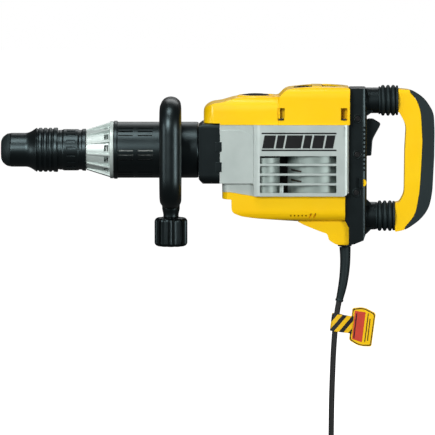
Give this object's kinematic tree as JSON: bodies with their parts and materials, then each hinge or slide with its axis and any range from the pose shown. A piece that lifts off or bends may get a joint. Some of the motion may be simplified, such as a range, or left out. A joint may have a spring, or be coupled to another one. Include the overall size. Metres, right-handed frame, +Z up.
{
  "type": "demolition hammer",
  "caption": "Heavy electric demolition hammer with a side loop handle, sprung rear D handle, keyless tool holder, piston and crank drive, louvred motor housing and a coiled mains cord.",
  "frame": {"origin": "on the hammer axis, in the middle of the barrel collar that the side handle clamps and by which the tool is held up", "axes": "+X runs along the hammer axis from the tool end to the rear handle, +Z is up, the cord hangs down, and the side handle stands out towards -Y"},
  "size_m": [0.7565, 0.2185, 0.6786],
  "materials": {
    "yellow_plastic": "moulded glass-filled nylon, satin yellow",
    "black_plastic": "moulded glass-filled nylon, fine texture",
    "soft_rubber": "soft over-moulded elastomer",
    "cast_silver": "die-cast alloy with silver paint",
    "aluminium": "machined aluminium",
    "steel": "ground steel",
    "iron_core": "stacked electrical steel",
    "copper": "copper and brass",
    "cord_rubber": "rubber-sheathed cable",
    "tag_card": "printed plastic tag, no lettering"
  },
  "bodies": {
    "root": {"front_flange": "cast_silver", "barrel_sleeve": "black_plastic", "cylinder": "steel", "stator": "iron_core", "bearing_upper": "steel", "bearing_lower": "steel", "brush_holder_left": "copper", "brush_holder_right": "copper", "bearing_plate": "aluminium", "gearbox_front": "black_plastic", "crankcase": "cast_silver", "motor_housing": "cast_silver", "top_cover": "yellow_plastic", "crankcase_cap": "black_plastic", "vent_grille": "black_plastic", "lower_cover": "yellow_plastic", "rear_housing_left": "black_plastic", "rear_housing_right": "black_plastic", "rear_screw_top": "steel", "rear_screw_middle": "steel", "rear_screw_bottom": "steel", "switch_module": "black_plastic", "control_module": "black_plastic", "bellows_upper": "soft_rubber", "bellows_lower": "soft_rubber", "strain_relief": "soft_rubber", "cord": "cord_rubber", "cord_coil": "cord_rubber", "cord_tail": "cord_rubber", "plug": "cord_rubber", "cord_tag": "tag_card"},
    "tool_holder": {"tool_holder": "steel", "nose_cap": "soft_rubber", "index_collar": "black_plastic", "sleeve_spring": "steel"},
    "locking_sleeve": {"locking_sleeve": "black_plastic"},
    "locking_segment_upper": {"locking_segment_upper": "steel"},
    "locking_segment_lower": {"locking_segment_lower": "steel"},
    "beat_piece": {"beat_piece": "steel"},
    "striker": {"striker": "steel"},
    "piston": {"piston": "aluminium", "wrist_pin": "steel"},
    "connecting_rod": {"connecting_rod": "steel"},
    "crank": {"crankshaft": "steel", "crank_gear": "steel"},
    "reduction_gear": {"reduction_gear": "steel"},
    "motor_rotor": {"motor_shaft": "steel", "armature_core": "iron_core", "commutator": "copper", "fan": "black_plastic"},
    "side_handle": {"side_handle_loop": "black_plastic", "clamp_band": "steel", "clamp_bolt": "steel"},
    "clamp_knob": {"clamp_knob": "black_plastic"},
    "trigger": {"trigger": "black_plastic"},
    "speed_dial": {"speed_dial": "yellow_plastic"},
    "rear_handle": {"handle_frame": "yellow_plastic", "handle_overmould": "soft_rubber", "damper_rod_upper": "steel", "damper_rod_lower": "steel"}
  },
  "joints": [
    {"name": "tool_holder_index", "type": "hinge", "parent": "root", "child": "tool_holder", "pos_m": [-0.2, 0, 0], "axis": [1, 0, 0], "continuous": true},
    {"name": "sleeve_pull", "type": "slide", "parent": "tool_holder", "child": "locking_sleeve", "axis": [1, 0, 0], "range_m": [0, 0.008], "stiffness_N_per_m": 1500, "springref_m": -0.01, "deforming": ["sleeve_spring"]},
    {"name": "segment_upper_lift", "type": "slide", "parent": "tool_holder", "child": "locking_segment_upper", "axis": [0, 0, 1], "range_m": [0, 0.0022]},
    {"name": "segment_lower_lift", "type": "slide", "parent": "tool_holder", "child": "locking_segment_lower", "axis": [0, 0, -1], "range_m": [0, 0.0022]},
    {"name": "beat_piece_slide", "type": "slide", "parent": "root", "child": "beat_piece", "axis": [-1, 0, 0], "range_m": [0, 0.004]},
    {"name": "striker_slide", "type": "slide", "parent": "root", "child": "striker", "axis": [1, 0, 0], "range_m": [-0.0015, 0.03]},
    {"name": "piston_slide", "type": "slide", "parent": "root", "child": "piston", "axis": [1, 0, 0], "range_m": [0, 0.044]},
    {"name": "rod_swing", "type": "hinge", "parent": "piston", "child": "connecting_rod", "pos_m": [0.036, 0, 0], "axis": [0, 0, 1], "range_deg": [-13.8, 13.8]},
    {"name": "motor_spin", "type": "hinge", "parent": "root", "child": "motor_rotor", "pos_m": [0.25, 0, 0], "axis": [0, 0, 1], "continuous": true},
    {"name": "reduction_spin", "type": "hinge", "parent": "root", "child": "reduction_gear", "pos_m": [0.202, 0, 0], "axis": [0, 0, 1], "continuous": true},
    {"name": "crank_spin", "type": "hinge", "parent": "root", "child": "crank", "pos_m": [0.15, 0, 0], "axis": [0, 0, 1], "continuous": true},
    {"name": "side_handle_swivel", "type": "hinge", "parent": "root", "child": "side_handle", "pos_m": [0, 0, 0], "axis": [1, 0, 0], "continuous": true},
    {"name": "clamp_knob_turn", "type": "hinge", "parent": "side_handle", "child": "clamp_knob", "pos_m": [0, 0, -0.14], "axis": [0, 0, 1], "range_deg": [0, 720]},
    {"name": "trigger_pull", "type": "hinge", "parent": "root", "child": "trigger", "pos_m": [0.344, 0, -0.004], "axis": [0, -1, 0], "range_deg": [0, 8], "stiffness_Nm_per_rad": 1.5, "springref_deg": -8.59},
    {"name": "speed_dial_turn", "type": "hinge", "parent": "root", "child": "speed_dial", "pos_m": [0.3345, -0.038, -0.055], "axis": [0, 1, 0], "range_deg": [0, 270]},
    {"name": "handle_damping", "type": "slide", "parent": "root", "child": "rear_handle", "axis": [-1, 0, 0], "range_m": [0, 0.008], "stiffness_N_per_m": 20000, "springref_m": -0.002, "deforming": ["bellows_upper", "bellows_lower"]}
  ],
  "couplings": [
    {"joint": "segment_upper_lift", "follows": "sleeve_pull", "ratio": 0.275},
    {"joint": "segment_lower_lift", "follows": "sleeve_pull", "ratio": 0.275},
    {"joint": "reduction_spin", "follows": "motor_spin", "ratio": -0.18519},
    {"joint": "crank_spin", "follows": "motor_spin", "ratio": 0.055556}
  ]
}
